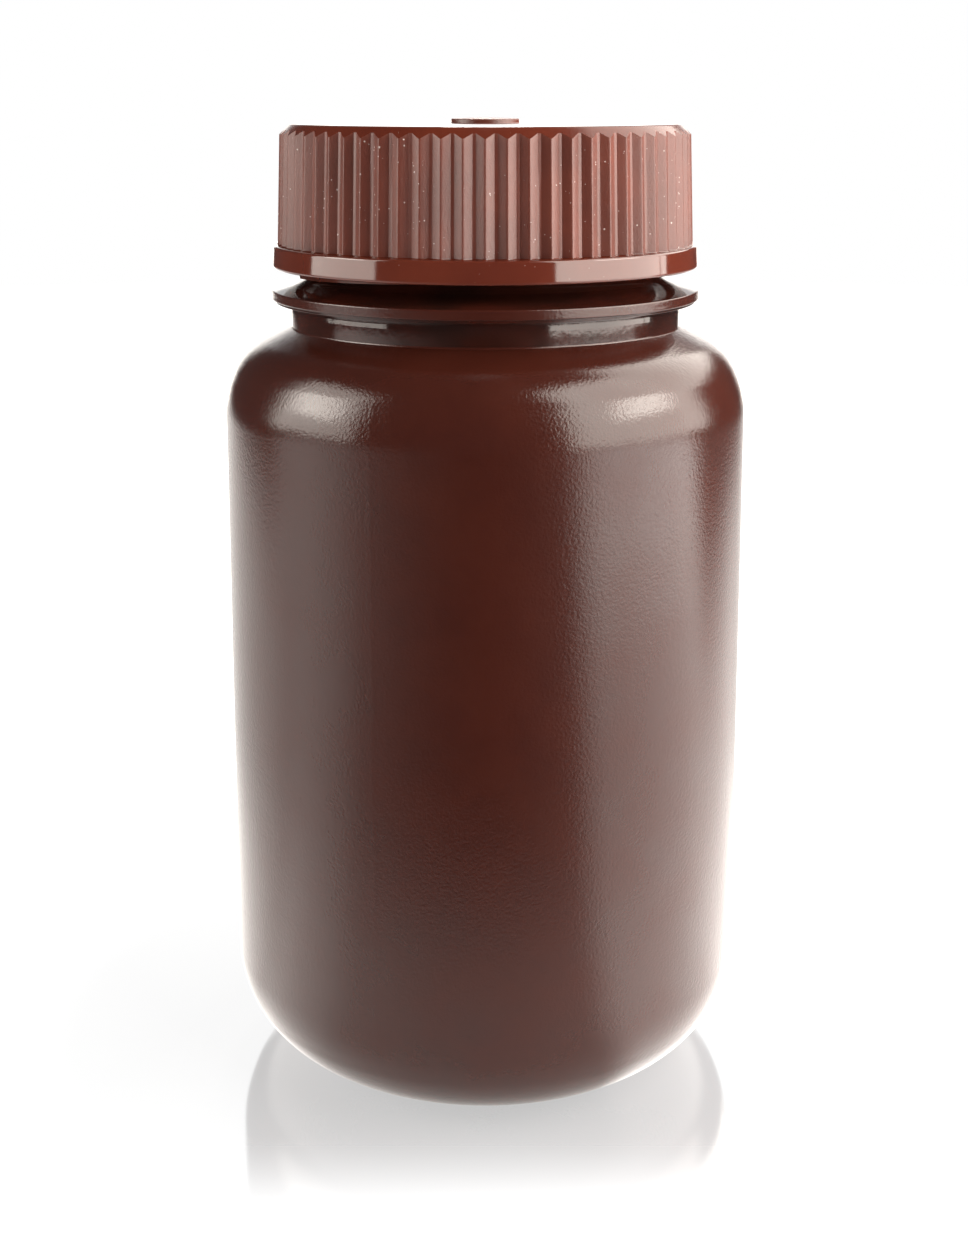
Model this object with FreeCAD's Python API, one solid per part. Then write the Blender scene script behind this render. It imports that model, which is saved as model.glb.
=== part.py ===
import FreeCAD, Part
import math
import os

# A wide-mouth laboratory bottle of the 125 ml size with its 38 mm screw cap, in millimetres.
# The bottle stands on the XY plane with its axis on Z. The origin is the middle of the base.
# Three pieces: the blow-moulded bottle, the injection-moulded cap, and the soft disc that seals it.

# Bottle body
body_diameter = 52.0
wall_thickness = 1.2
straight_wall_top = 66.4
base_corner_radius = 10.5
base_thickness = 1.5
base_ring_width = 2.0
push_up_height = 1.6

# Weld that the mould leaves across the base, in the plane where its halves part
weld_length = 22.0
weld_width = 0.8
weld_height = 0.3
weld_root = 0.5
parting_angle = 66.5

# Shoulder: two tangent arcs that run into a cone, with the neck above it
shoulder_lower_radius = 9.9
shoulder_upper_radius = 6.25
shoulder_arc_change = 32.0
shoulder_slope = 27.0
neck_diameter = 38.8
neck_height = 2.5
neck_root_radius = 2.0
neck_wall = 1.5

# Collar under the cap: a thin lip below a straight rim, with a sloping top
collar_diameter = 42.5
collar_rim_height = 0.95
collar_edge_radius = 0.15
collar_slope_height = 1.1
collar_root_radius = 1.2
lip_height = 0.25
lip_inset = 0.3
lip_root_radius = 0.3

# Mouth: the plain wall that carries the fine helical thread, which isn't part of these solids
mouth_wall_diameter = 34.9
mouth_wall_thickness = 1.7
mouth_height = 13.5
mouth_edge_radius = 0.35
throat_slope = 40.0
throat_radius = 1.0

# Room for the thread, and its running play in the cap
thread_depth = 1.15
thread_play = 0.25

# Sealing disc
liner_thickness = 1.0
liner_gap = 0.35

# Screw cap
cap_height = 13.9
roof_thickness = 1.6
roof_corner_radius = 0.25
skirt_wall = 0.85
cap_bevel = 1.05
cap_top_edge_radius = 0.25
rib_count = 64
rib_depth = 0.5
rib_floor_width = 0.3
rib_draft = 0.4
band_height = 2.2
band_step = 0.57
band_edge_radius = 0.25
entry_depth = 2.0
entry_step = 0.8
entry_slope_height = 0.8

# Moulding gate in the middle of the roof
gate_diameter = 6.7
gate_height = 0.55
gate_dome = 0.12
gate_edge_radius = 0.12

# An edge that is eased by less than this radius gets a flat facet instead of an arc
least_arc_radius = 0.5

# Radii and heights that follow from these sizes
body_radius = body_diameter / 2
base_ring_outer = body_radius - base_corner_radius
base_ring_inner = base_ring_outer - base_ring_width
neck_radius = neck_diameter / 2
collar_radius = collar_diameter / 2
mouth_wall_radius = mouth_wall_diameter / 2
mouth_radius = mouth_wall_radius - mouth_wall_thickness
cap_bore_radius = mouth_wall_radius + thread_depth + thread_play
liner_radius = cap_bore_radius - liner_gap
rib_root_radius = cap_bore_radius + skirt_wall
rib_crest_radius = rib_root_radius + rib_depth
band_radius = rib_crest_radius + rib_draft + band_step
dome_radius = (base_ring_inner ** 2 + push_up_height ** 2) / (2 * push_up_height)
slope = math.radians(shoulder_slope)
arc_change = math.radians(shoulder_arc_change)


def at(radius, height):
    """A place on a turned outline: its distance from the axis and its height."""
    return FreeCAD.Vector(radius, 0, height)


def rounded(corners):
    """Edges through corners, each (radius, height) or (radius, height, rounding).

    A rounding is a tangent arc, or on a small edge the facet between the same two places.
    """
    places = [at(corner[0], corner[1]) for corner in corners]
    arrive = list(places)
    leave = list(places)
    roundings = {}
    for i in range(1, len(corners) - 1):
        if len(corners[i]) < 3:
            continue
        rounding = corners[i][2]
        before = (places[i - 1] - places[i]).normalize()
        after = (places[i + 1] - places[i]).normalize()
        half = before.getAngle(after) / 2
        arrive[i] = places[i] + before * (rounding / math.tan(half))
        leave[i] = places[i] + after * (rounding / math.tan(half))
        if rounding < least_arc_radius:
            roundings[i] = Part.LineSegment(arrive[i], leave[i]).toShape()
        else:
            inward = (before + after).normalize()
            nearest = places[i] + inward * (rounding / math.sin(half) - rounding)
            roundings[i] = Part.Arc(arrive[i], nearest, leave[i]).toShape()
    edges = []
    for i in range(1, len(corners)):
        edges.append(Part.LineSegment(leave[i - 1], arrive[i]).toShape())
        if i in roundings:
            edges.append(roundings[i])
    return edges


def arc(centre, radius, start, end):
    """Edge of a circle in the outline's plane, from one angle to another above the horizontal."""
    angles = (start, (start + end) / 2, end)
    places = [centre + at(radius * math.cos(a), radius * math.sin(a)) for a in angles]
    return Part.Arc(places[0], places[1], places[2]).toShape()


def turned(edges):
    """The solid that a closed outline sweeps round the axis."""
    face = Part.Face(Part.Wire(edges))
    return face.revolve(at(0, 0), FreeCAD.Vector(0, 0, 1), 360)


def shoulder(inset):
    """The shoulder's two arcs at some depth inside the outer surface, and the place they end."""
    lower_centre = at(body_radius - shoulder_lower_radius, straight_wall_top)
    shift = shoulder_lower_radius - shoulder_upper_radius
    upper_centre = lower_centre + at(shift * math.cos(arc_change), shift * math.sin(arc_change))
    end = math.pi / 2 - slope
    lower = arc(lower_centre, shoulder_lower_radius - inset, 0, arc_change)
    upper = arc(upper_centre, shoulder_upper_radius - inset, arc_change, end)
    reach = shoulder_upper_radius - inset
    return [lower, upper], upper_centre + at(reach * math.cos(end), reach * math.sin(end))


def cone_height(start, radius):
    """Height of the shoulder's cone at a radius, from the place where the cone starts."""
    return start.z + (start.x - radius) * math.tan(slope)


dome_centre = at(0, push_up_height - dome_radius)

# Heights of the bottle from the shoulder up, and of the cap that screws down on its mouth
outer_arcs, outer_cone = shoulder(0)
neck_bottom = cone_height(outer_cone, neck_radius)
collar_bottom = neck_bottom + neck_height
collar_rim_bottom = collar_bottom + lip_height
collar_top = collar_rim_bottom + collar_rim_height
mouth_top = collar_top + mouth_height
roof_bottom = mouth_top + liner_thickness
cap_top = roof_bottom + roof_thickness
cap_bottom = cap_top - cap_height
band_top = cap_bottom + band_height


def bottle_outside():
    """The outer form, filled in: base, wall, shoulder, neck, collar and mouth wall."""
    dome = arc(dome_centre, dome_radius, math.pi / 2, math.acos(base_ring_inner / dome_radius))
    base = rounded([
        (base_ring_inner, 0),
        (body_radius, 0, base_corner_radius),
        (body_radius, straight_wall_top),
    ])
    top = rounded([
        (outer_cone.x, outer_cone.z),
        (neck_radius, neck_bottom, neck_root_radius),
        (neck_radius, collar_bottom, lip_root_radius),
        (collar_radius - lip_inset, collar_bottom),
        (collar_radius - lip_inset, collar_rim_bottom),
        (collar_radius, collar_rim_bottom, collar_edge_radius),
        (collar_radius, collar_top, collar_edge_radius),
        (mouth_wall_radius, collar_top + collar_slope_height, collar_root_radius),
        (mouth_wall_radius, mouth_top, mouth_edge_radius),
        (0, mouth_top),
        (0, push_up_height),
    ])
    return turned([dome] + base + outer_arcs + top)


def bottle_inside():
    """The hollow: a floor over the push-up, the wall, the shoulder, the throat and the mouth."""
    floor = push_up_height + base_thickness
    inner_radius = body_radius - wall_thickness
    corner = base_corner_radius - wall_thickness
    inner_arcs, inner_cone = shoulder(wall_thickness)
    throat_outer = neck_radius - neck_wall
    throat_bottom = cone_height(inner_cone, throat_outer)
    throat_rise = (throat_outer - mouth_radius) * math.tan(math.radians(throat_slope))
    low = rounded([
        (0, floor),
        (base_ring_inner, base_thickness),
        (inner_radius, base_thickness, corner),
        (inner_radius, straight_wall_top),
    ])
    high = rounded([
        (inner_cone.x, inner_cone.z),
        (throat_outer, throat_bottom),
        (throat_outer, collar_bottom - throat_rise / 2, throat_radius),
        (mouth_radius, collar_bottom + throat_rise / 2, throat_radius),
        (mouth_radius, mouth_top - mouth_edge_radius),
        (mouth_radius + mouth_edge_radius, mouth_top),
        (0, mouth_top),
        (0, floor),
    ])
    return turned(low + inner_arcs + high)


def base_weld():
    """The low ridge across the push-up where the mould pinched the tube of plastic shut."""
    ridge = Part.makeSphere(dome_radius + weld_root, dome_centre)
    ridge = ridge.cut(Part.makeSphere(dome_radius - weld_height, dome_centre))
    bar = Part.makeBox(
        weld_length, weld_width, push_up_height + weld_root,
        FreeCAD.Vector(-weld_length / 2, -weld_width / 2, 0),
    )
    bar.rotate(at(0, 0), FreeCAD.Vector(0, 0, 1), parting_angle)
    return ridge.common(bar)


def make_bottle():
    return bottle_outside().cut(bottle_inside()).fuse(base_weld()).removeSplitter()


def rib_ring(crest, height):
    """Closed outline of the V ribs at one height: a sharp crest, then a narrow flat floor."""
    root = crest - rib_depth
    pitch = 2 * math.pi / rib_count
    floor_turn = rib_floor_width / root / 2
    places = []
    for rib in range(rib_count):
        turn = rib * pitch
        floor_middle = turn + pitch / 2
        for radius, angle in (
            (crest, turn),
            (root, floor_middle - floor_turn),
            (root, floor_middle + floor_turn),
        ):
            places.append(FreeCAD.Vector(radius * math.cos(angle), radius * math.sin(angle), height))
    return Part.makePolygon(places + [places[0]])


def cap_outside():
    """Ribbed skirt under a bevelled roof, the smooth band at its foot and the gate on top."""
    foot = rib_ring(rib_crest_radius + rib_draft, band_top)
    top = rib_ring(rib_crest_radius, cap_top)
    ribs = Part.makeLoft([foot, top], True, True)
    blank_radius = rib_crest_radius + band_step
    blank = turned(rounded([
        (0, band_top),
        (band_radius, band_top),
        (blank_radius, cap_top - cap_bevel - band_step),
        (rib_crest_radius - cap_bevel, cap_top, cap_top_edge_radius),
        (0, cap_top),
        (0, band_top),
    ]))
    band = turned(rounded([
        (0, cap_bottom),
        (band_radius, cap_bottom, band_edge_radius),
        (band_radius, band_top, band_edge_radius),
        (0, band_top),
        (0, cap_bottom),
    ]))
    gate_radius = gate_diameter / 2
    gate = turned(rounded([
        (0, cap_top),
        (gate_radius, cap_top),
        (gate_radius, cap_top + gate_height - gate_dome, gate_edge_radius),
        (0, cap_top + gate_height),
        (0, cap_top),
    ]))
    return ribs.common(blank).fuse([band, gate])


def cap_inside():
    """The hollow under the roof, wider at the entry so that the band's wall stays even."""
    entry_radius = cap_bore_radius + entry_step
    return turned(rounded([
        (0, cap_bottom),
        (entry_radius, cap_bottom),
        (entry_radius, cap_bottom + entry_depth),
        (cap_bore_radius, cap_bottom + entry_depth + entry_slope_height),
        (cap_bore_radius, roof_bottom, roof_corner_radius),
        (0, roof_bottom),
        (0, cap_bottom),
    ]))


def make_cap():
    return cap_outside().cut(cap_inside()).removeSplitter()


def make_liner():
    """The disc that the mouth presses against the roof."""
    return Part.makeCylinder(liner_radius, liner_thickness, at(0, mouth_top))


pieces = {
    "bottle": make_bottle(),
    "sealing_liner": make_liner(),
    "screw_cap": make_cap(),
}

os.makedirs("parts", exist_ok=True)
for name, shape in pieces.items():
    solid = shape.Solids[0]
    print(name, "valid", shape.isValid(), "solids", len(shape.Solids), "volume", round(solid.Volume, 1))
    solid.exportStep("parts/" + name + ".step")
print("mouth top", round(mouth_top, 3), "cap from", round(cap_bottom, 3), "to", round(cap_top, 3))
print("brimful volume in ml", round(bottle_inside().Volume / 1000, 1))
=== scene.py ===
import math

import bmesh
import bpy
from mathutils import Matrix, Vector, noise


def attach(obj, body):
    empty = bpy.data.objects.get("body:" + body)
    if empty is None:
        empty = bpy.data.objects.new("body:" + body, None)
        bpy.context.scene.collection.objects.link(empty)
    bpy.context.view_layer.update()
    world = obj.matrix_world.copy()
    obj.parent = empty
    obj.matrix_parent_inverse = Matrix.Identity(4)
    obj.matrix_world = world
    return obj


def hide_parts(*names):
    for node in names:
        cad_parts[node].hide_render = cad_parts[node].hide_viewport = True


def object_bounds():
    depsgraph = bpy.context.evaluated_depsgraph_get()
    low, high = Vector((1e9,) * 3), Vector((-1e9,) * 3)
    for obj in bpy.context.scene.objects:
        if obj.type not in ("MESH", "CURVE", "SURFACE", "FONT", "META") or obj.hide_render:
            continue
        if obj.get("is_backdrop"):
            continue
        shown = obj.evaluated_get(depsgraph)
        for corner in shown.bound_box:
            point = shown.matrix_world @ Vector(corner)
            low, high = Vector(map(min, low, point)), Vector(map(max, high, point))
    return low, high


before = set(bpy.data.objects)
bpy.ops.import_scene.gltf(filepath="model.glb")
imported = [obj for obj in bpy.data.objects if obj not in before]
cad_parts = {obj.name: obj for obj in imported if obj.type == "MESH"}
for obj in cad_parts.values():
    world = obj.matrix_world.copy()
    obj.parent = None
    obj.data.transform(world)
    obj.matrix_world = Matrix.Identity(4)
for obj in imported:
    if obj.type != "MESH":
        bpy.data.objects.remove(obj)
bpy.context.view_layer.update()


# Bottle: one blow-moulded piece of opaque brown polyethylene, with an even wall that runs from
# the pushed-up base over the shoulder into the neck. The collar and the plain mouth wall are
# pressed in the mould's neck ring. The halves of the mould leave a low line up two sides.

MM = 0.001
WALL_RADIUS = 26.0
WALL_THICKNESS = 1.2
WALL_TOP = 66.4
BASE_CORNER = 10.5
BASE_THICKNESS = 1.5
RING_OUTER = WALL_RADIUS - BASE_CORNER
RING_WIDTH = 2.0
RING_INNER = RING_OUTER - RING_WIDTH
RING_MARGIN = 0.4
PUSH_UP = 1.6
SHOULDER_LOWER = 9.9
SHOULDER_UPPER = 6.25
SHOULDER_CHANGE = math.radians(32)
SHOULDER_END = math.radians(63)
LONGEST_RUN = 2.0
NECK_RADIUS = 19.4
NECK_HEIGHT = 2.5
NECK_FILLET = 0.2
NECK_FOOT_REACH = 1.0
NECK_CROWN = 0.04
NECK_CROWN_SPAN = (0.97, 0.50)
NECK_CROWN_EASE = 0.04
NECK_WALL = 1.5
COLLAR_RADIUS = 21.25
COLLAR_RIM = 0.95
COLLAR_EDGE = 0.15
COLLAR_SLOPE = 1.1
COLLAR_FILLET = 1.2
LIP_HEIGHT = 0.25
LIP_INSET = 0.3
LIP_FILLET = 0.3
LIP_EDGE = 0.06
RIM_MARGIN = 0.08
FLAT_HOLD = 0.03
MOUTH_WALL_RADIUS = 17.45
MOUTH_RADIUS = 15.75
MOUTH_HEIGHT = 13.5
MOUTH_EDGE = 0.35
THROAT_SLOPE = math.radians(40)
THROAT_FILLET = 1.0
PARTING_ANGLE = math.radians(66.5)
PARTING_HALF_WIDTH = 0.34
PARTING_HEIGHT = 0.006
WALL_WAVE = 0.07
WALL_WAVE_LENGTH = 17.0
WALL_WAVE_STRETCH = 0.7
WALL_WAVE_LOWEST = 4.0
BROWN_HDPE = (0.046, 0.0100, 0.0059)
BROWN_HDPE_DEEP = (0.040, 0.0084, 0.0050)
# Painted shade: the neck ring's brown is darker than the blown wall's, standing in for the shade under
# the collar and the cap.
BROWN_HDPE_NECK_PAINTED_SHADE = (0.018, 0.0062, 0.0046)
HDPE_CLOUD = 0.006
HDPE_PEEL = 0.0007
HDPE_GRAIN = 0.00027
HDPE_REFRACTION = 1.54
NOISE_SPAN = (0.3, 0.7)


def round_stretch(centre, radius, start, end, steps):
    """Places along an arc of an outline, by the angle above the horizontal."""
    turns = [start + (end - start) * i / steps for i in range(steps + 1)]
    return [(centre[0] + radius * math.cos(a), centre[1] + radius * math.sin(a)) for a in turns]


def eased(corners, steps=6, hold=0.0):
    """An outline through corners (radius, height) or (radius, height, rounding). Hold adds a
    place beyond each end of a rounding, which keeps the faces beside it flat."""
    places = []
    for i, corner in enumerate(corners):
        if len(corner) < 3:
            places.append(corner)
            continue
        here = Vector(corner[:2])
        before = (Vector(corners[i - 1][:2]) - here).normalized()
        after = (Vector(corners[i + 1][:2]) - here).normalized()
        half = before.angle(after) / 2
        centre = here + (before + after).normalized() * corner[2] / math.sin(half)
        tangent = corner[2] / math.tan(half)
        first = here + before * tangent - centre
        last = here + after * tangent - centre
        start = math.atan2(first.y, first.x)
        sweep = math.remainder(math.atan2(last.y, last.x) - start, math.tau)
        if hold:
            places.append(tuple(here + before * (tangent + hold)))
        places += round_stretch(centre, corner[2], start, start + sweep, steps)
        if hold:
            places.append(tuple(here + after * (tangent + hold)))
    return places


def stepped(places, longest):
    """The same outline with its long straight runs divided."""
    out = [places[0]]
    for a, b in zip(places, places[1:]):
        pieces = max(1, math.ceil(math.dist(a, b) / longest))
        out += [(a[0] + (b[0] - a[0]) * i / pieces, a[1] + (b[1] - a[1]) * i / pieces)
                for i in range(1, pieces + 1)]
    return out


def shoulder_arcs(inset):
    """The shoulder's two tangent arcs at some depth inside the outer surface."""
    lower = (WALL_RADIUS - SHOULDER_LOWER, WALL_TOP)
    shift = SHOULDER_LOWER - SHOULDER_UPPER
    upper = (lower[0] + shift * math.cos(SHOULDER_CHANGE),
             lower[1] + shift * math.sin(SHOULDER_CHANGE))
    first = round_stretch(lower, SHOULDER_LOWER - inset, 0, SHOULDER_CHANGE, steps=14)
    second = round_stretch(upper, SHOULDER_UPPER - inset, SHOULDER_CHANGE, SHOULDER_END, steps=12)
    return first + second[1:]


def cone_height(start, radius):
    """Height of the shoulder's cone at a radius, from the place where the cone starts."""
    return start[1] + (start[0] - radius) / math.tan(SHOULDER_END)


outer_shoulder = shoulder_arcs(0)
inner_shoulder = shoulder_arcs(WALL_THICKNESS)
neck_bottom = cone_height(outer_shoulder[-1], NECK_RADIUS)
collar_bottom = neck_bottom + NECK_HEIGHT
rim_bottom = collar_bottom + LIP_HEIGHT
collar_top = rim_bottom + COLLAR_RIM
mouth_top = collar_top + MOUTH_HEIGHT
throat_outer = NECK_RADIUS - NECK_WALL
throat_rise = (throat_outer - MOUTH_RADIUS) * math.tan(THROAT_SLOPE)
floor_height = PUSH_UP + BASE_THICKNESS
dome_radius = (RING_INNER ** 2 + PUSH_UP ** 2) / (2 * PUSH_UP)
dome_edge = math.acos(RING_INNER / dome_radius)

neck_foot = NECK_RADIUS + NECK_FOOT_REACH
base_and_wall = eased([
    (RING_OUTER - RING_MARGIN, 0),
    (WALL_RADIUS, 0, BASE_CORNER),
    (WALL_RADIUS, WALL_TOP),
], steps=30)

bottle_outline = (
    round_stretch((0, PUSH_UP - dome_radius), dome_radius, math.pi / 2, dome_edge, steps=24)
    + stepped(base_and_wall, LONGEST_RUN)
    + outer_shoulder[1:]
    + eased([
        (neck_foot, cone_height(outer_shoulder[-1], neck_foot)),
        (NECK_RADIUS, neck_bottom, NECK_FILLET),
        (NECK_RADIUS, collar_bottom - NECK_CROWN_SPAN[0]),
        (NECK_RADIUS - NECK_CROWN * 0.05, collar_bottom - NECK_CROWN_SPAN[0] + NECK_CROWN_EASE),
        (NECK_RADIUS - NECK_CROWN * 0.95, collar_bottom - NECK_CROWN_SPAN[1] - NECK_CROWN_EASE),
        (NECK_RADIUS - NECK_CROWN, collar_bottom - NECK_CROWN_SPAN[1]),
        (NECK_RADIUS - NECK_CROWN, collar_bottom, LIP_FILLET),
        (COLLAR_RADIUS - LIP_INSET, collar_bottom, LIP_EDGE),
        (COLLAR_RADIUS - LIP_INSET, rim_bottom, LIP_EDGE),
        (COLLAR_RADIUS, rim_bottom, COLLAR_EDGE),
        (COLLAR_RADIUS, collar_top, COLLAR_EDGE),
        (MOUTH_WALL_RADIUS, collar_top + COLLAR_SLOPE, COLLAR_FILLET),
        (MOUTH_WALL_RADIUS, mouth_top, MOUTH_EDGE),
        (MOUTH_RADIUS, mouth_top, MOUTH_EDGE),
        (MOUTH_RADIUS, collar_bottom + throat_rise / 2, THROAT_FILLET),
        (throat_outer, collar_bottom - throat_rise / 2, THROAT_FILLET),
        (throat_outer, cone_height(inner_shoulder[-1], throat_outer)),
    ], hold=FLAT_HOLD)[1:]
    + inner_shoulder[::-1]
    + eased([
        (WALL_RADIUS - WALL_THICKNESS, WALL_TOP - 1),
        (WALL_RADIUS - WALL_THICKNESS, BASE_THICKNESS, BASE_CORNER - WALL_THICKNESS),
        (RING_INNER, BASE_THICKNESS),
        (0, floor_height),
    ], steps=12)
)
bottle_outline[0] = (0, PUSH_UP)


def turned(name, profile_at, angles):
    """A closed skin round the axis: profile_at(angle) gives its outline there, in millimetres."""
    shell = bmesh.new()
    columns = [profile_at(angle) for angle in angles]
    rows = []
    for i, (radius, height) in enumerate(columns[0]):
        if radius == 0:
            rows.append([shell.verts.new((0, 0, height * MM))] * len(angles))
            continue
        rows.append([
            shell.verts.new((
                column[i][0] * MM * math.cos(angle),
                column[i][0] * MM * math.sin(angle),
                column[i][1] * MM,
            ))
            for column, angle in zip(columns, angles)
        ])
    for low, high in zip(rows, rows[1:]):
        for i in range(len(angles)):
            corners = (low[i - 1], low[i], high[i], high[i - 1])
            shell.faces.new(list(dict.fromkeys(corners)))
    return finished(name, shell)


def finished(name, shell, sharpest=25):
    """Puts a built mesh in the scene, smooth but for its sharp edges."""
    data = bpy.data.meshes.new(name)
    shell.to_mesh(data)
    shell.free()
    data.shade_smooth()
    data.set_sharp_from_angle(angle=math.radians(sharpest))
    piece = bpy.data.objects.new(name, data)
    bpy.context.scene.collection.objects.link(piece)
    return piece


def bottle_profile(angle):
    """The outline with the mould's parting line and the slight waves of a blown wall."""
    off_line = abs(math.remainder(angle - PARTING_ANGLE, math.pi)) * WALL_RADIUS
    ridge = PARTING_HEIGHT * max(0, 1 - off_line / PARTING_HALF_WIDTH)
    out = []
    for radius, height in bottle_outline:
        outside = radius > WALL_RADIUS - WALL_THICKNESS + 0.1 and height > WALL_WAVE_LOWEST
        if outside:
            place = Vector((
                radius * math.cos(angle), radius * math.sin(angle), height * WALL_WAVE_STRETCH))
            wave = noise.noise(place / WALL_WAVE_LENGTH) * 0.5 + 0.5
            radius = radius - WALL_WAVE * wave + ridge
        out.append((radius, height))
    return out


def grain(nodes, links, size, detail=2.0):
    """Noise texture with a given grain size in metres, in the piece's own coordinates."""
    place = nodes.new("ShaderNodeTexCoord")
    texture = nodes.new("ShaderNodeTexNoise")
    texture.inputs["Scale"].default_value = 1 / size
    texture.inputs["Detail"].default_value = detail
    links.new(place.outputs["Object"], texture.inputs["Vector"])
    return texture


def spread(nodes, links, source, from_range, to_range, soft=False):
    """Maps values from one range to another, evenly or with soft ends."""
    stretch = nodes.new("ShaderNodeMapRange")
    if soft:
        stretch.interpolation_type = "SMOOTHSTEP"
    stretch.inputs["From Min"].default_value = from_range[0]
    stretch.inputs["From Max"].default_value = from_range[1]
    stretch.inputs["To Min"].default_value = to_range[0]
    stretch.inputs["To Max"].default_value = to_range[1]
    links.new(source, stretch.inputs["Value"])
    return stretch.outputs["Result"]


def mottled(nodes, links, texture, first, second, span=(0.35, 0.65)):
    """A colour that drifts between two shades with a noise texture."""
    mix = nodes.new("ShaderNodeMix")
    mix.data_type = "RGBA"
    links.new(spread(nodes, links, texture.outputs["Fac"], span, (0, 1)), mix.inputs["Factor"])
    mix.inputs["A"].default_value = (*first, 1)
    mix.inputs["B"].default_value = (*second, 1)
    return mix.outputs["Result"]


def bumped(nodes, links, layers):
    """Stacks bumps, each (height output, depth in metres), and gives the last normal."""
    normal = None
    for height, depth in layers:
        bump = nodes.new("ShaderNodeBump")
        bump.inputs["Strength"].default_value = 1.0
        bump.inputs["Distance"].default_value = depth
        links.new(height, bump.inputs["Height"])
        if normal:
            links.new(normal, bump.inputs["Normal"])
        normal = bump.outputs["Normal"]
    return normal


def new_finish(name):
    """An empty plastic finish: its material, nodes, links and shader."""
    material = bpy.data.materials.new(name)
    material.use_nodes = True
    tree = material.node_tree
    return material, tree.nodes, tree.links, tree.nodes["Principled BSDF"]


def brown_polyethylene(name, colours, rough_range, peel_depth, grain_depth):
    """HDPE: soft mottling, orange peel and a fine grain. The neck ring's steel is polished."""
    material, nodes, links, shader = new_finish(name)
    cloud = grain(nodes, links, HDPE_CLOUD, detail=4.0)
    peel = grain(nodes, links, HDPE_PEEL)
    fine = grain(nodes, links, HDPE_GRAIN)
    links.new(mottled(nodes, links, cloud, *colours), shader.inputs["Base Color"])
    roughness = spread(nodes, links, fine.outputs["Fac"], NOISE_SPAN, rough_range)
    links.new(roughness, shader.inputs["Roughness"])
    shine = spread(nodes, links, cloud.outputs["Fac"], NOISE_SPAN, (0.46, 0.54))
    links.new(shine, shader.inputs["Specular IOR Level"])
    shader.inputs["IOR"].default_value = HDPE_REFRACTION
    layers = [(peel.outputs["Fac"], peel_depth), (fine.outputs["Fac"], grain_depth)]
    normal = bumped(nodes, links, layers)
    links.new(normal, shader.inputs["Normal"])
    return material


column_count = 360
ridge_turn = PARTING_HALF_WIDTH / WALL_RADIUS
bottle_angles = [math.tau * i / column_count for i in range(column_count)]
for side in (0, math.pi):
    bottle_angles += [PARTING_ANGLE + side + ridge_turn * step for step in (-1, -0.5, 0, 0.5, 1)]
bottle_angles.sort()
bottle_wall = turned("bottle_wall", bottle_profile, bottle_angles)
hdpe = brown_polyethylene(
    "brown_hdpe_blown", (BROWN_HDPE, BROWN_HDPE_DEEP),
    rough_range=(0.14, 0.20), peel_depth=0.000007, grain_depth=0.000024)
# The neck ring is polished, so less rough; its darker brown is painted shade for the neck, the collar's
# top and the mouth under the cap.
polished_hdpe_painted_shade = brown_polyethylene(
    "brown_hdpe_neck_ring_painted_shade", (BROWN_HDPE_NECK_PAINTED_SHADE, BROWN_HDPE_DEEP),
    rough_range=(0.07, 0.11), peel_depth=0.000008, grain_depth=0.000002)
bottle_wall.data.materials.append(hdpe)
bottle_wall.data.materials.append(polished_hdpe_painted_shade)
for face in bottle_wall.data.polygons:
    middle = face.center / MM
    in_neck_ring = middle.z > neck_bottom + NECK_FILLET and middle.xy.length > MOUTH_RADIUS
    on_rim = middle.xy.length > COLLAR_RADIUS - RIM_MARGIN
    if in_neck_ring and not on_rim:
        face.material_index = 1
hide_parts("bottle")
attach(bottle_wall, "bottle")


# Base weld: where the mould pinched the tube of soft plastic shut, it leaves a low blunt ridge
# across the push-up, in the plane of the parting lines.

WELD_LENGTH = 22.0
WELD_HEIGHT = 0.3
WELD_WIDTH = 0.8
WELD_STEPS = 40
WELD_SECTION = ((-0.5, -0.3), (-0.42, 0.5), (-0.2, 0.95), (0.2, 0.95), (0.42, 0.5), (0.5, -0.3))

weld = bmesh.new()
weld_rows = []
for i in range(WELD_STEPS + 1):
    off_middle = i / WELD_STEPS - 0.5
    along = off_middle * WELD_LENGTH
    surface = PUSH_UP - dome_radius + math.sqrt(dome_radius ** 2 - along ** 2)
    fade = min(1, 8 * (0.5 - abs(off_middle)))
    weld_rows.append([
        weld.verts.new((
            along * MM,
            across * WELD_WIDTH * MM,
            (surface - drop * WELD_HEIGHT * fade) * MM,
        ))
        for across, drop in WELD_SECTION
    ])
for low, high in zip(weld_rows, weld_rows[1:]):
    for i in range(len(WELD_SECTION)):
        weld.faces.new((low[i - 1], high[i - 1], high[i], low[i]))
weld.faces.new(weld_rows[0])
weld.faces.new(weld_rows[-1][::-1])
parting = Vector((math.cos(PARTING_ANGLE), math.sin(PARTING_ANGLE), 0))
onto_parting = Vector((1, 0, 0)).rotation_difference(parting).to_matrix()
bmesh.ops.rotate(weld, verts=weld.verts, cent=(0, 0, 0), matrix=onto_parting)
bmesh.ops.recalc_face_normals(weld, faces=weld.faces)
base_weld = finished("base_weld", weld, 50)
base_weld.data.materials.append(hdpe)
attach(base_weld, "bottle")


# Mouth thread: a right-hand ridge of the same plastic round the mouth wall, six turns an inch,
# which fades out at both ends. The cap's thread hooks under it.

THREAD_LEAD = 25.4 / 6
THREAD_DEPTH = 1.15
THREAD_FOOT_WIDTH = 2.3
THREAD_CREST_WIDTH = 1.0
THREAD_SOFTENING = 0.12
THREAD_SINK = 0.2
THREAD_STEPS = 120
THREAD_FADE_STEPS = 14
THREAD_START = math.radians(200)
MOUTH_THREAD_TURNS = 1.6
MOUTH_THREAD_BELOW_TOP = 2.2


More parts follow.
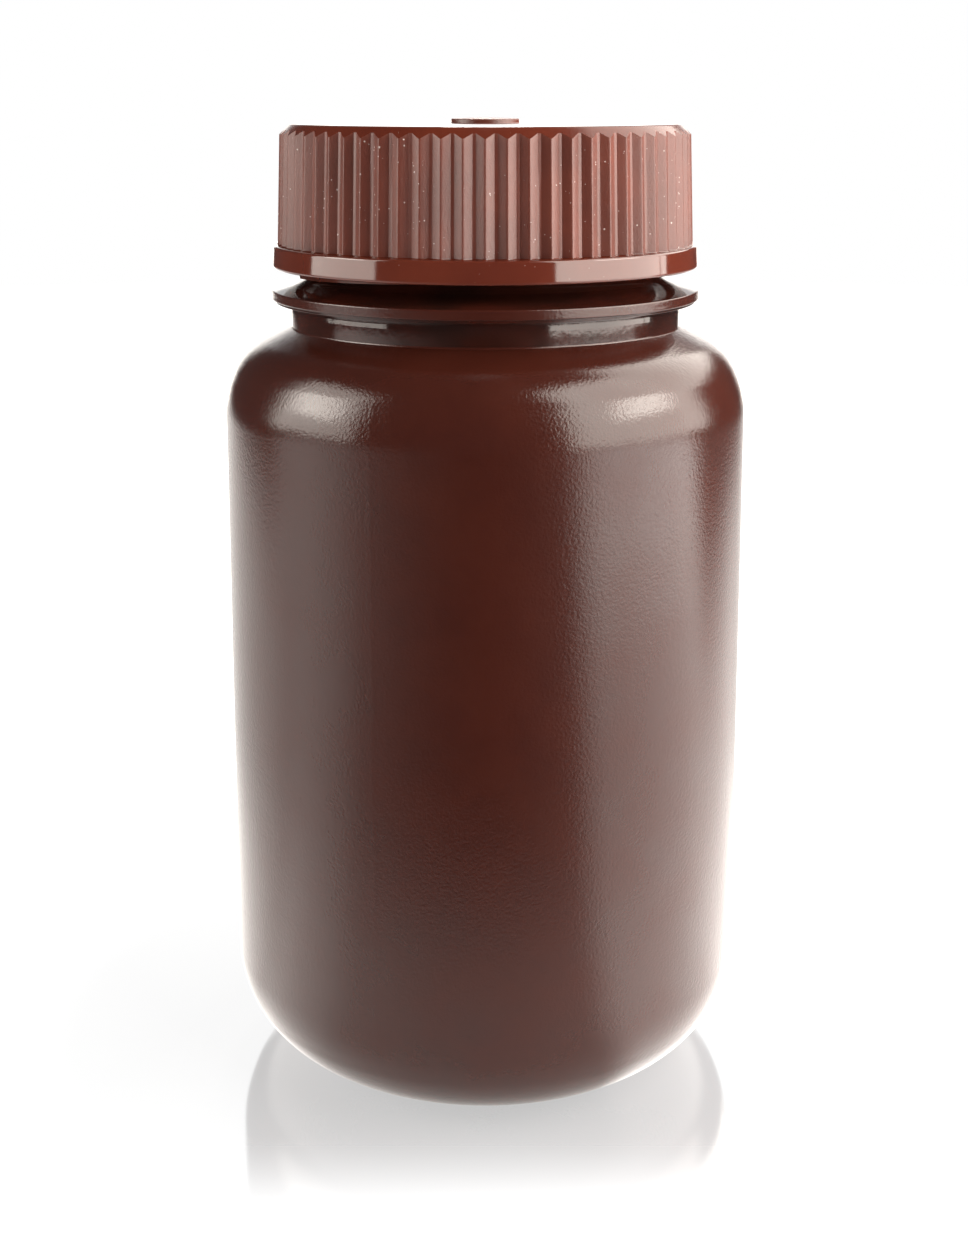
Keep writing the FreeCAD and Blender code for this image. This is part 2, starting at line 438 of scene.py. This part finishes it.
def thread_ridge(name, wall_radius, depth, foot_width, crest_width, start_height, turns):
    """A helical ridge that rises anticlockwise. Depth is outwards, or inwards if negative."""
    ridge = bmesh.new()
    steps = int(turns * THREAD_STEPS)
    sink = math.copysign(THREAD_SINK, depth)
    rings = []
    for i in range(steps + 1):
        angle = THREAD_START + math.tau * turns * i / steps
        height = start_height + THREAD_LEAD * turns * i / steps
        fade = min(1, i / THREAD_FADE_STEPS, (steps - i) / THREAD_FADE_STEPS)
        grown = math.sin(fade * math.pi / 2)
        crest = wall_radius + depth * (0.02 + 0.98 * grown)
        soft = wall_radius + depth * 0.82 * grown
        section = (
            (wall_radius - sink, -foot_width / 2),
            (wall_radius, -foot_width / 2),
            (soft, -crest_width / 2 - THREAD_SOFTENING),
            (crest, -crest_width / 2 + THREAD_SOFTENING),
            (crest, crest_width / 2 - THREAD_SOFTENING),
            (soft, crest_width / 2 + THREAD_SOFTENING),
            (wall_radius, foot_width / 2),
            (wall_radius - sink, foot_width / 2),
        )
        rings.append([
            ridge.verts.new((r * MM * math.cos(angle), r * MM * math.sin(angle), (height + z) * MM))
            for r, z in section
        ])
    for low, high in zip(rings, rings[1:]):
        for i in range(len(low)):
            ridge.faces.new((low[i - 1], high[i - 1], high[i], low[i]))
    ridge.faces.new(rings[0])
    ridge.faces.new(rings[-1][::-1])
    bmesh.ops.recalc_face_normals(ridge, faces=ridge.faces)
    return finished(name, ridge, 40)


mouth_thread_foot = mouth_top - MOUTH_THREAD_BELOW_TOP - THREAD_LEAD * MOUTH_THREAD_TURNS
mouth_thread = thread_ridge(
    "mouth_thread", MOUTH_WALL_RADIUS, THREAD_DEPTH, THREAD_FOOT_WIDTH, THREAD_CREST_WIDTH,
    mouth_thread_foot, MOUTH_THREAD_TURNS,
)
mouth_thread.data.materials.append(polished_hdpe_painted_shade)
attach(mouth_thread, "bottle")


# Sealing disc: punched from a sheet of white polyethylene foam and pushed in under the cap's
# roof. Its cut edge is open-celled and its faces are smooth.

DISC_RADIUS = 18.5
DISC_THICKNESS = 1.0
DISC_EDGE = 0.08
DISC_COLUMNS = 160
FOAM_CELL = 0.00035
FOAM_CELL_DEPTH = 0.00003
FOAM_WHITE = (0.80, 0.79, 0.755)
FOAM_SHADE = (0.70, 0.69, 0.65)

disc_outline = eased([
    (0, mouth_top),
    (DISC_RADIUS, mouth_top, DISC_EDGE),
    (DISC_RADIUS, mouth_top + DISC_THICKNESS, DISC_EDGE),
    (0, mouth_top + DISC_THICKNESS),
], steps=3)
disc_angles = [math.tau * i / DISC_COLUMNS for i in range(DISC_COLUMNS)]
foam_disc = turned("foam_disc", lambda angle: disc_outline, disc_angles)


def white_foam():
    """Closed-cell foam: small cells under a skin, slightly uneven in shade."""
    material, nodes, links, shader = new_finish("white_pe_foam_sheet")
    cells = nodes.new("ShaderNodeTexVoronoi")
    cells.inputs["Scale"].default_value = 1 / FOAM_CELL
    place = nodes.new("ShaderNodeTexCoord")
    links.new(place.outputs["Object"], cells.inputs["Vector"])
    shade = grain(nodes, links, 0.004)
    links.new(mottled(nodes, links, shade, FOAM_WHITE, FOAM_SHADE), shader.inputs["Base Color"])
    shader.inputs["Roughness"].default_value = 0.62
    shader.inputs["IOR"].default_value = 1.45
    normal = bumped(nodes, links, [(cells.outputs["Distance"], FOAM_CELL_DEPTH)])
    links.new(normal, shader.inputs["Normal"])
    return material


foam_disc.data.materials.append(white_foam())
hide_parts("sealing_liner")
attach(foam_disc, "liner")


# Screw cap: injection-moulded brown polypropylene. V ribs for the grip run down from a bevelled
# roof to a smooth, polished band at the foot, and the gate left a low boss on the roof.

THREAD_CLEARANCE = 0.25
BORE_RADIUS = MOUTH_WALL_RADIUS + THREAD_DEPTH + THREAD_CLEARANCE
ROOF_BOTTOM = mouth_top + DISC_THICKNESS
ROOF_THICKNESS = 1.6
CAP_HEIGHT = 13.9
CAP_TOP = ROOF_BOTTOM + ROOF_THICKNESS
CAP_BOTTOM = CAP_TOP - CAP_HEIGHT
CORE_EDGE = 0.25
SKIRT_WALL = 0.85
SKIRT_EDGE = 0.12
RIB_COUNT = 64
RIB_DEPTH = 0.5
RIB_DRAFT = 0.4
RIB_FLOOR = 0.3
RIB_CREST = BORE_RADIUS + SKIRT_WALL + RIB_DEPTH
RIB_FOOT_FILLET = 0.1
CREST_ROUNDING = 0.09
CAP_BEVEL = 1.05
TOP_EDGE = 0.45
BAND_REACH = 0.57
BAND_RADIUS = RIB_CREST + RIB_DRAFT + BAND_REACH
BAND_HEIGHT = 2.2
BAND_TOP = CAP_BOTTOM + BAND_HEIGHT
BAND_DRAFT = 0.12
BAND_HOLD = 0.13
BAND_EDGE = 0.25
BAND_LEDGE = 0.12
ENTRY_WIDENING = 0.8
ENTRY_RADIUS = BORE_RADIUS + ENTRY_WIDENING
ENTRY_DEPTH = 2.0
ENTRY_SLOPE = 0.8
ENTRY_EDGE = 0.3
GATE_RADIUS = 3.35
GATE_HEIGHT = 0.55
GATE_DOME = 0.12
GATE_EDGE = 0.12
GATE_FILLET = 0.1
BROWN_PP = (0.105, 0.0200, 0.0100)
BROWN_PP_DEEP = (0.088, 0.0165, 0.0088)
# Painted light: the ribs' brown is a lighter copy of the band's, standing in for the band lying in more
# shade than the ribs.
BROWN_PP_RIBS_PAINTED_LIGHT = (0.132, 0.0245, 0.0115)
# Pale specks on the cap: partly dust, partly painted glints of light on the grained plastic.
DUST_AND_GLINT = (0.46, 0.38, 0.35)
DUST_AND_GLINT_SPACING = 0.00045
DUST_AND_GLINT_PATCH = 0.007
PP_CLOUD = 0.006
PP_PEEL = 0.0016
PP_SPARK = 0.00018
PP_REFRACTION = 1.49

rib_pitch = math.tau / RIB_COUNT
floor_turn = RIB_FLOOR / (RIB_CREST - RIB_DEPTH + RIB_DRAFT / 2) / 2
facet_turn = rib_pitch / 2 - floor_turn
draft_rate = RIB_DRAFT / (CAP_TOP - BAND_TOP)


def rib_offset(turn):
    """How far the ribs' surface lies inside the crest's circle, at an angle from a crest."""
    turn = abs(turn)
    if turn > facet_turn:
        return RIB_DEPTH
    root = RIB_CREST - RIB_DEPTH
    root_x = root * math.cos(facet_turn)
    root_y = root * math.sin(facet_turn)
    lean = (RIB_CREST - root_x) / root_y
    radius = RIB_CREST / (math.cos(turn) + lean * math.sin(turn))
    sharp = RIB_CREST - radius
    blunt = CREST_ROUNDING * 0.5
    return math.hypot(sharp, blunt) if sharp < 4 * blunt else sharp + blunt / 8


inside_and_band = eased([
    (0, ROOF_BOTTOM),
    (BORE_RADIUS, ROOF_BOTTOM, CORE_EDGE),
    (BORE_RADIUS, CAP_BOTTOM + ENTRY_DEPTH + ENTRY_SLOPE, ENTRY_EDGE),
    (ENTRY_RADIUS, CAP_BOTTOM + ENTRY_DEPTH, ENTRY_EDGE),
    (ENTRY_RADIUS, CAP_BOTTOM, SKIRT_EDGE),
    (BAND_RADIUS, CAP_BOTTOM, BAND_EDGE),
    (BAND_RADIUS - BAND_DRAFT * BAND_HOLD, CAP_BOTTOM + BAND_HEIGHT * BAND_HOLD),
    (BAND_RADIUS - BAND_DRAFT * (1 - BAND_HOLD), CAP_BOTTOM + BAND_HEIGHT * (1 - BAND_HOLD)),
    (BAND_RADIUS - BAND_DRAFT, BAND_TOP, BAND_EDGE),
    (RIB_CREST + RIB_DRAFT + BAND_LEDGE, BAND_TOP),
], steps=5)
roof = eased([
    (RIB_CREST - CAP_BEVEL / 2, CAP_TOP - CAP_BEVEL / 2),
    (RIB_CREST - CAP_BEVEL, CAP_TOP, TOP_EDGE),
    (GATE_RADIUS, CAP_TOP, GATE_FILLET),
    (GATE_RADIUS, CAP_TOP + GATE_HEIGHT - GATE_DOME, GATE_EDGE),
    (0, CAP_TOP + GATE_HEIGHT),
], steps=5)[1:]


def cap_profile(angle):
    """Inside, band, rib and roof at one angle. The bevel cuts each rib off where they meet."""
    inset = rib_offset(math.remainder(angle, rib_pitch))
    cut_height = CAP_TOP - (CAP_BEVEL - inset) / (1 - draft_rate)
    rib_foot = BAND_TOP + RIB_FOOT_FILLET
    heights = [BAND_TOP, BAND_TOP + RIB_FOOT_FILLET / 2, rib_foot]
    heights += [rib_foot + (cut_height - rib_foot) * share for share in (0.02, 0.25, 0.5, 0.75, 0.98, 1)]
    rib = [(RIB_CREST - inset + draft_rate * (CAP_TOP - z), z) for z in heights]
    rib[0] = (rib[0][0] + RIB_FOOT_FILLET, rib[0][1])
    rib[1] = (rib[1][0] + RIB_FOOT_FILLET * 0.3, rib[1][1])
    out, up = roof[0][0] - rib[-1][0], roof[0][1] - cut_height
    bevel = [(rib[-1][0] + out * share, cut_height + up * share) for share in (0.06, 0.5)]
    return inside_and_band + rib + bevel + roof


crest_turn = CREST_ROUNDING / RIB_CREST
rib_steps = sorted({
    sign * turn
    for sign in (-1, 1)
    for turn in (0, crest_turn * 0.5, crest_turn, crest_turn * 2, facet_turn * 0.35, facet_turn * 0.65,
                 facet_turn * 0.93, facet_turn, rib_pitch / 2)
} - {-rib_pitch / 2})
cap_angles = [rib * rib_pitch + turn for rib in range(RIB_COUNT) for turn in rib_steps]
ribbed_cap = turned("ribbed_cap", cap_profile, cap_angles)


def joined(nodes, links, operation, first, second=0.0):
    """Arithmetic on two outputs, or on an output and a number."""
    step = nodes.new("ShaderNodeMath")
    step.operation = operation
    links.new(first, step.inputs[0])
    if isinstance(second, float):
        step.inputs[1].default_value = second
    else:
        links.new(second, step.inputs[1])
    return step.outputs["Value"]


def brown_polypropylene(name, colours, rough_range, grain_depth, peel_depth, dust_and_glint_reach, shine):
    """Injection-moulded PP. Ribs are spark-eroded and grainy, the band and roof edge polished."""
    material, nodes, links, shader = new_finish(name)
    cloud = grain(nodes, links, PP_CLOUD, detail=3.0)
    peel = grain(nodes, links, PP_PEEL, detail=1.0)
    spark = grain(nodes, links, PP_SPARK)
    place = nodes.new("ShaderNodeTexCoord")
    specks = nodes.new("ShaderNodeTexVoronoi")
    specks.inputs["Scale"].default_value = 1 / DUST_AND_GLINT_SPACING
    links.new(place.outputs["Object"], specks.inputs["Vector"])
    speck_size = nodes.new("ShaderNodeSeparateColor")
    links.new(specks.outputs["Color"], speck_size.inputs["Color"])
    speck_patches = grain(nodes, links, DUST_AND_GLINT_PATCH, detail=1.0)
    # The pale specks, gathered in patches, are partly dust and partly painted glints on the grain.
    speck_reach = joined(
        nodes, links, "MULTIPLY",
        spread(nodes, links, speck_size.outputs["Red"], (0.4, 1.0), (0.0, dust_and_glint_reach)),
        spread(nodes, links, speck_patches.outputs["Fac"], (0.42, 0.58), (0.25, 1.0)))
    dust_and_glint_specks = joined(nodes, links, "LESS_THAN", specks.outputs["Distance"], speck_reach)
    colour = nodes.new("ShaderNodeMix")
    colour.data_type = "RGBA"
    links.new(dust_and_glint_specks, colour.inputs["Factor"])
    links.new(mottled(nodes, links, cloud, *colours), colour.inputs["A"])
    colour.inputs["B"].default_value = (*DUST_AND_GLINT, 1)
    links.new(colour.outputs["Result"], shader.inputs["Base Color"])
    roughness = spread(nodes, links, spark.outputs["Fac"], NOISE_SPAN, rough_range)
    links.new(roughness, shader.inputs["Roughness"])
    shader.inputs["IOR"].default_value = PP_REFRACTION
    shader.inputs["Specular IOR Level"].default_value = shine
    layers = [(peel.outputs["Fac"], peel_depth), (spark.outputs["Fac"], grain_depth)]
    normal = bumped(nodes, links, layers)
    links.new(normal, shader.inputs["Normal"])
    return material


# The ribs and the gate get the lighter copy of the brown as painted light; the band keeps the darker
# one.
ribbed_cap.data.materials.append(brown_polypropylene(
    "brown_pp_ribs", (BROWN_PP_RIBS_PAINTED_LIGHT, BROWN_PP),
    rough_range=(0.34, 0.46), grain_depth=0.000020, peel_depth=0.000008, dust_and_glint_reach=0.20, shine=0.75))
ribbed_cap.data.materials.append(brown_polypropylene(
    "brown_pp_polished", (BROWN_PP, BROWN_PP_DEEP),
    rough_range=(0.06, 0.10), grain_depth=0.0000012, peel_depth=0.000004, dust_and_glint_reach=0.09, shine=0.75))
ribbed_cap.data.materials.append(brown_polypropylene(
    "brown_pp_bevel", (BROWN_PP, BROWN_PP_DEEP),
    rough_range=(0.16, 0.24), grain_depth=0.000004, peel_depth=0.000004, dust_and_glint_reach=0.09, shine=0.30))
for face in ribbed_cap.data.polygons:
    middle = face.center / MM
    on_ribs = BAND_TOP < middle.z < CAP_TOP - 0.5 and middle.xy.length > BORE_RADIUS + 0.5
    on_bevel = on_ribs and face.normal.z > 0.4
    on_gate = middle.xy.length < GATE_RADIUS + 0.05 and middle.z > CAP_TOP + 0.02
    on_edge = middle.z > CAP_TOP - CAP_BEVEL - 0.2 and RIB_CREST - CAP_BEVEL < middle.xy.length
    if on_gate or (on_ribs and not on_bevel):
        face.material_index = 0
    elif on_edge:
        face.material_index = 2
    else:
        face.material_index = 1
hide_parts("screw_cap")
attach(ribbed_cap, "cap")


# Cap thread: the ridge inside the skirt that hooks under the mouth's thread, moulded in one
# with the cap and stripped off its core.

CAP_THREAD_TURNS = 1.35
CAP_THREAD_DEPTH = THREAD_DEPTH - 0.02
CAP_THREAD_FOOT_WIDTH = THREAD_FOOT_WIDTH - 0.3
CAP_THREAD_CREST_WIDTH = THREAD_CREST_WIDTH - 0.2
cap_thread_foot = mouth_thread_foot - THREAD_LEAD / 2
cap_thread = thread_ridge(
    "cap_thread", BORE_RADIUS, -CAP_THREAD_DEPTH, CAP_THREAD_FOOT_WIDTH, CAP_THREAD_CREST_WIDTH,
    cap_thread_foot, CAP_THREAD_TURNS,
)
cap_thread.data.materials.append(ribbed_cap.data.materials[1])
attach(cap_thread, "cap")


# Studio: a white glossy table, tall diffusing panels at the sides and behind, and a dark open
# front where the camera stands. What the bottle mirrors of the table grows brighter towards
# the panels. The background is white.

TABLE_RADIUS = 0.8
TABLE_WHITE = (0.82, 0.87, 0.94)
TABLE_LIFT_REACH = (0.042, 0.075)
TABLE_LIFT = (1.28, 2.3)
TABLE_LIFT_SHARE = 0.75
BACK_GLOW_TURN = (-1.0, 0.1)
BACK_GLOW = (0.0, 1.45)
LEFT_GLOW_TURN = (-0.97, -0.70)
LEFT_GLOW = (0.55, 0.0)
LEFT_REAR_TURN = (-0.22, 0.05)
RIGHT_GLOW_TURN = (0.54, 0.76)
RIGHT_GLOW = (0.0, 1.6)
RIGHT_REAR_TURN = (0.15, 0.85)
RIGHT_REAR = (1.0, 0.3)
RIGHT_RISE_REACH = (0.16, 0.33)
RIGHT_RISE = (1.0, 2.5)
RIGHT_END_REACH = (0.54, 0.60)
NEAR_GLOW_REACH = (0.045, 0.115)
NEAR_GLOW = (0.8, 0.0)
SIDE_FADE_SHIFT = 0.055
SIDE_FADE_REACH = (0.15, 0.34)
SIDE_FADE = (1.0, 0.05)
FRONT_KEPT = (0.02, 0.10)
GLOW_COLOUR = (1.0, 0.96, 0.91)
MIRROR_SPAN = (-0.043, -0.023)
MIRROR_SHARE = 0.47
MIRROR_ROUGHNESS = 0.08
PANEL_DISTANCE = 0.5
LIGHT_LEVEL = 0.7
LIGHT_COLOUR = (1.0, 0.94, 0.86)
BACKDROP_SPAN = (math.radians(16), math.radians(22))
AMBIENT = 0.06
FADING = (1.0, 0.0)

table_mesh = bmesh.new()
bmesh.ops.create_circle(table_mesh, cap_ends=True, segments=96, radius=TABLE_RADIUS)
table = finished("table", table_mesh)


def level_parts(nodes, links, vector):
    """The X and the Y of a vector."""
    parts = nodes.new("ShaderNodeSeparateXYZ")
    links.new(vector, parts.inputs["Vector"])
    return parts.outputs["X"], parts.outputs["Y"]


def mixed(nodes, links, share, first, second):
    """Two shaders in one, with a share of the second."""
    mix = nodes.new("ShaderNodeMixShader")
    links.new(share, mix.inputs["Fac"])
    links.new(first, mix.inputs[1])
    links.new(second, mix.inputs[2])
    return mix.outputs["Shader"]


def table_glow(nodes, links, place, reach):
    """How bright the bottle mirrors the table, by direction and distance from the bottle."""
    toward = nodes.new("ShaderNodeVectorMath")
    toward.operation = "NORMALIZE"
    links.new(place, toward.inputs[0])
    across, back = level_parts(nodes, links, toward.outputs["Vector"])
    behind = spread(nodes, links, back, BACK_GLOW_TURN, BACK_GLOW)
    left = joined(
        nodes, links, "MULTIPLY",
        spread(nodes, links, across, LEFT_GLOW_TURN, LEFT_GLOW, soft=True),
        spread(nodes, links, back, LEFT_REAR_TURN, FADING, soft=True))
    right_turned = joined(
        nodes, links, "MULTIPLY",
        spread(nodes, links, across, RIGHT_GLOW_TURN, RIGHT_GLOW, soft=True),
        spread(nodes, links, back, RIGHT_REAR_TURN, RIGHT_REAR))
    right_reach = joined(
        nodes, links, "MULTIPLY",
        spread(nodes, links, reach, RIGHT_RISE_REACH, RIGHT_RISE, soft=True),
        spread(nodes, links, reach, RIGHT_END_REACH, FADING))
    right = joined(nodes, links, "MULTIPLY", right_turned, right_reach)
    sides = joined(nodes, links, "ADD", joined(nodes, links, "ADD", behind, left), right)
    near = spread(nodes, links, reach, NEAR_GLOW_REACH, NEAR_GLOW, soft=True)
    glow = joined(nodes, links, "ADD", sides, near)
    x, y = level_parts(nodes, links, place)
    sideways = joined(nodes, links, "ABSOLUTE", joined(nodes, links, "ADD", x, SIDE_FADE_SHIFT))
    kept = joined(
        nodes, links, "MAXIMUM",
        spread(nodes, links, sideways, SIDE_FADE_REACH, SIDE_FADE, soft=True),
        spread(nodes, links, y, FRONT_KEPT, FADING, soft=True))
    return joined(nodes, links, "MULTIPLY", glow, kept)


def white_table():
    """Matt white that the camera sees lifted, with a weak mirror in front of the bottle."""
    material = bpy.data.materials.new("white_table")
    material.use_nodes = True
    nodes = material.node_tree.nodes
    links = material.node_tree.links
    nodes.clear()
    seen = nodes.new("ShaderNodeLightPath")
    place = nodes.new("ShaderNodeTexCoord").outputs["Object"]
    length = nodes.new("ShaderNodeVectorMath")
    length.operation = "LENGTH"
    links.new(place, length.inputs[0])
    reach = length.outputs["Value"]
    white = nodes.new("ShaderNodeBsdfDiffuse")
    white.inputs["Color"].default_value = (*TABLE_WHITE, 1)
    lift = nodes.new("ShaderNodeEmission")
    lift_level = spread(nodes, links, reach, TABLE_LIFT_REACH, TABLE_LIFT, soft=True)
    links.new(lift_level, lift.inputs["Strength"])
    lifted = joined(nodes, links, "MULTIPLY", seen.outputs["Is Camera Ray"], TABLE_LIFT_SHARE)
    lit = mixed(nodes, links, lifted, white.outputs["BSDF"], lift.outputs["Emission"])
    glow = nodes.new("ShaderNodeEmission")
    glow.inputs["Color"].default_value = (*GLOW_COLOUR, 1)
    links.new(table_glow(nodes, links, place, reach), glow.inputs["Strength"])
    matt = mixed(nodes, links, seen.outputs["Is Glossy Ray"], lit, glow.outputs["Emission"])
    mirror = nodes.new("ShaderNodeBsdfGlossy")
    mirror.inputs["Roughness"].default_value = MIRROR_ROUGHNESS
    y = level_parts(nodes, links, place)[1]
    in_front = spread(nodes, links, y, MIRROR_SPAN, (0.0, MIRROR_SHARE), soft=True)
    share = joined(nodes, links, "MULTIPLY", in_front, seen.outputs["Is Camera Ray"])
    output = nodes.new("ShaderNodeOutputMaterial")
    surface = mixed(nodes, links, share, matt, mirror.outputs["BSDF"])
    links.new(surface, output.inputs["Surface"])
    return material


table.data.materials.append(white_table())
table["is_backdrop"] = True


def stand(azimuth, distance, height):
    """A place in the studio. Azimuth is from the camera's side towards the right."""
    turn = math.radians(azimuth)
    return Vector((math.sin(turn) * distance, -math.cos(turn) * distance, height))


def panel(name, first, last, bottom, top, radiance):
    """A lit panel that stands between two azimuths and faces the bottle."""
    left = stand(first, PANEL_DISTANCE, 0)
    right = stand(last, PANEL_DISTANCE, 0)
    light = bpy.data.lights.new(name, "AREA")
    light.shape = "RECTANGLE"
    light.size = (right - left).length
    light.size_y = top - bottom
    light.color = LIGHT_COLOUR
    light.energy = 4 * light.size * light.size_y * radiance * LIGHT_LEVEL
    lamp = bpy.data.objects.new(name, light)
    lamp.location = (left + right) / 2 + Vector((0, 0, (bottom + top) / 2))
    inward = Vector((-lamp.location.x, -lamp.location.y, 0))
    lamp.rotation_euler = inward.to_track_quat("-Z", "Y").to_euler()
    lamp.visible_camera = False
    bpy.context.scene.collection.objects.link(lamp)


panel("right_panel", 36, 103, 0.036, 0.88, 6.8)
panel("right_panel_return", 103.8, 109, 0.036, 0.88, 6.4)
panel("right_panel_rear", 109, 153, 0.225, 0.95, 5.2)
panel("right_hot", 61, 91, 0.23, 0.335, 10)
panel("left_panel", -102, -58, 0.06, 0.50, 4.6)
panel("left_hot", -94, -68, 0.19, 0.34, 7.5)
panel("back_lamp", 176, 184, 0.36, 0.43, 60)
panel("backdrop_glow", 157, 203, 0, 0.16, 1.8)


def background(nodes, strength):
    """An even white surrounding."""
    even = nodes.new("ShaderNodeBackground")
    even.inputs["Color"].default_value = (1, 1, 1, 1)
    even.inputs["Strength"].default_value = strength
    return even.outputs["Background"]


def white_studio():
    """White for the camera and for what is mirrored from behind the bottle, dim elsewhere."""
    world = bpy.data.worlds.new("white_studio")
    world.use_nodes = True
    nodes = world.node_tree.nodes
    links = world.node_tree.links
    nodes.clear()
    direction = nodes.new("ShaderNodeTexCoord")
    x, y = level_parts(nodes, links, direction.outputs["Generated"])
    off_back = joined(nodes, links, "ABSOLUTE", joined(nodes, links, "ARCTAN2", x, y))
    behind = spread(nodes, links, off_back, BACKDROP_SPAN, FADING, soft=True)
    rays = nodes.new("ShaderNodeLightPath")
    reflected = joined(
        nodes, links, "MAXIMUM", rays.outputs["Is Glossy Ray"], rays.outputs["Is Transmission Ray"])
    reflected_behind = joined(nodes, links, "MULTIPLY", reflected, behind)
    shown = joined(nodes, links, "MAXIMUM", rays.outputs["Is Camera Ray"], reflected_behind)
    output = nodes.new("ShaderNodeOutputWorld")
    sky = mixed(nodes, links, shown, background(nodes, AMBIENT), background(nodes, 1.0))
    links.new(sky, output.inputs["Surface"])
    return world


bpy.context.scene.world = white_studio()


# Camera: level with the cap's roof and close in, tipped a little down, with the frame shifted
# so that the bottle's upright lines fill it as in the photograph.

CAMERA_DISTANCE = 0.1878
CAMERA_HEIGHT = 0.0983
CAMERA_PITCH = 11
FRAME_HEIGHT = 1240
FOCAL_PIXELS = 1879
SENSOR = 36
PRINCIPAL_ROW = 454.5
SIDE_SHIFT = -0.001
NEAREST_SEEN = 0.005

camera_data = bpy.data.cameras.new("camera")
camera_data.sensor_width = SENSOR
camera_data.lens = FOCAL_PIXELS / FRAME_HEIGHT * SENSOR
camera_data.shift_x = SIDE_SHIFT
camera_data.shift_y = (PRINCIPAL_ROW - FRAME_HEIGHT / 2) / FRAME_HEIGHT
camera_data.clip_start = NEAREST_SEEN
camera = bpy.data.objects.new("camera", camera_data)
camera.location = (0, -CAMERA_DISTANCE, CAMERA_HEIGHT)
camera.rotation_euler = (math.radians(90 - CAMERA_PITCH), 0, 0)
bpy.context.scene.collection.objects.link(camera)
bpy.context.scene.camera = camera
bpy.context.scene.view_settings.view_transform = "Standard"

low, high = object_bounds()
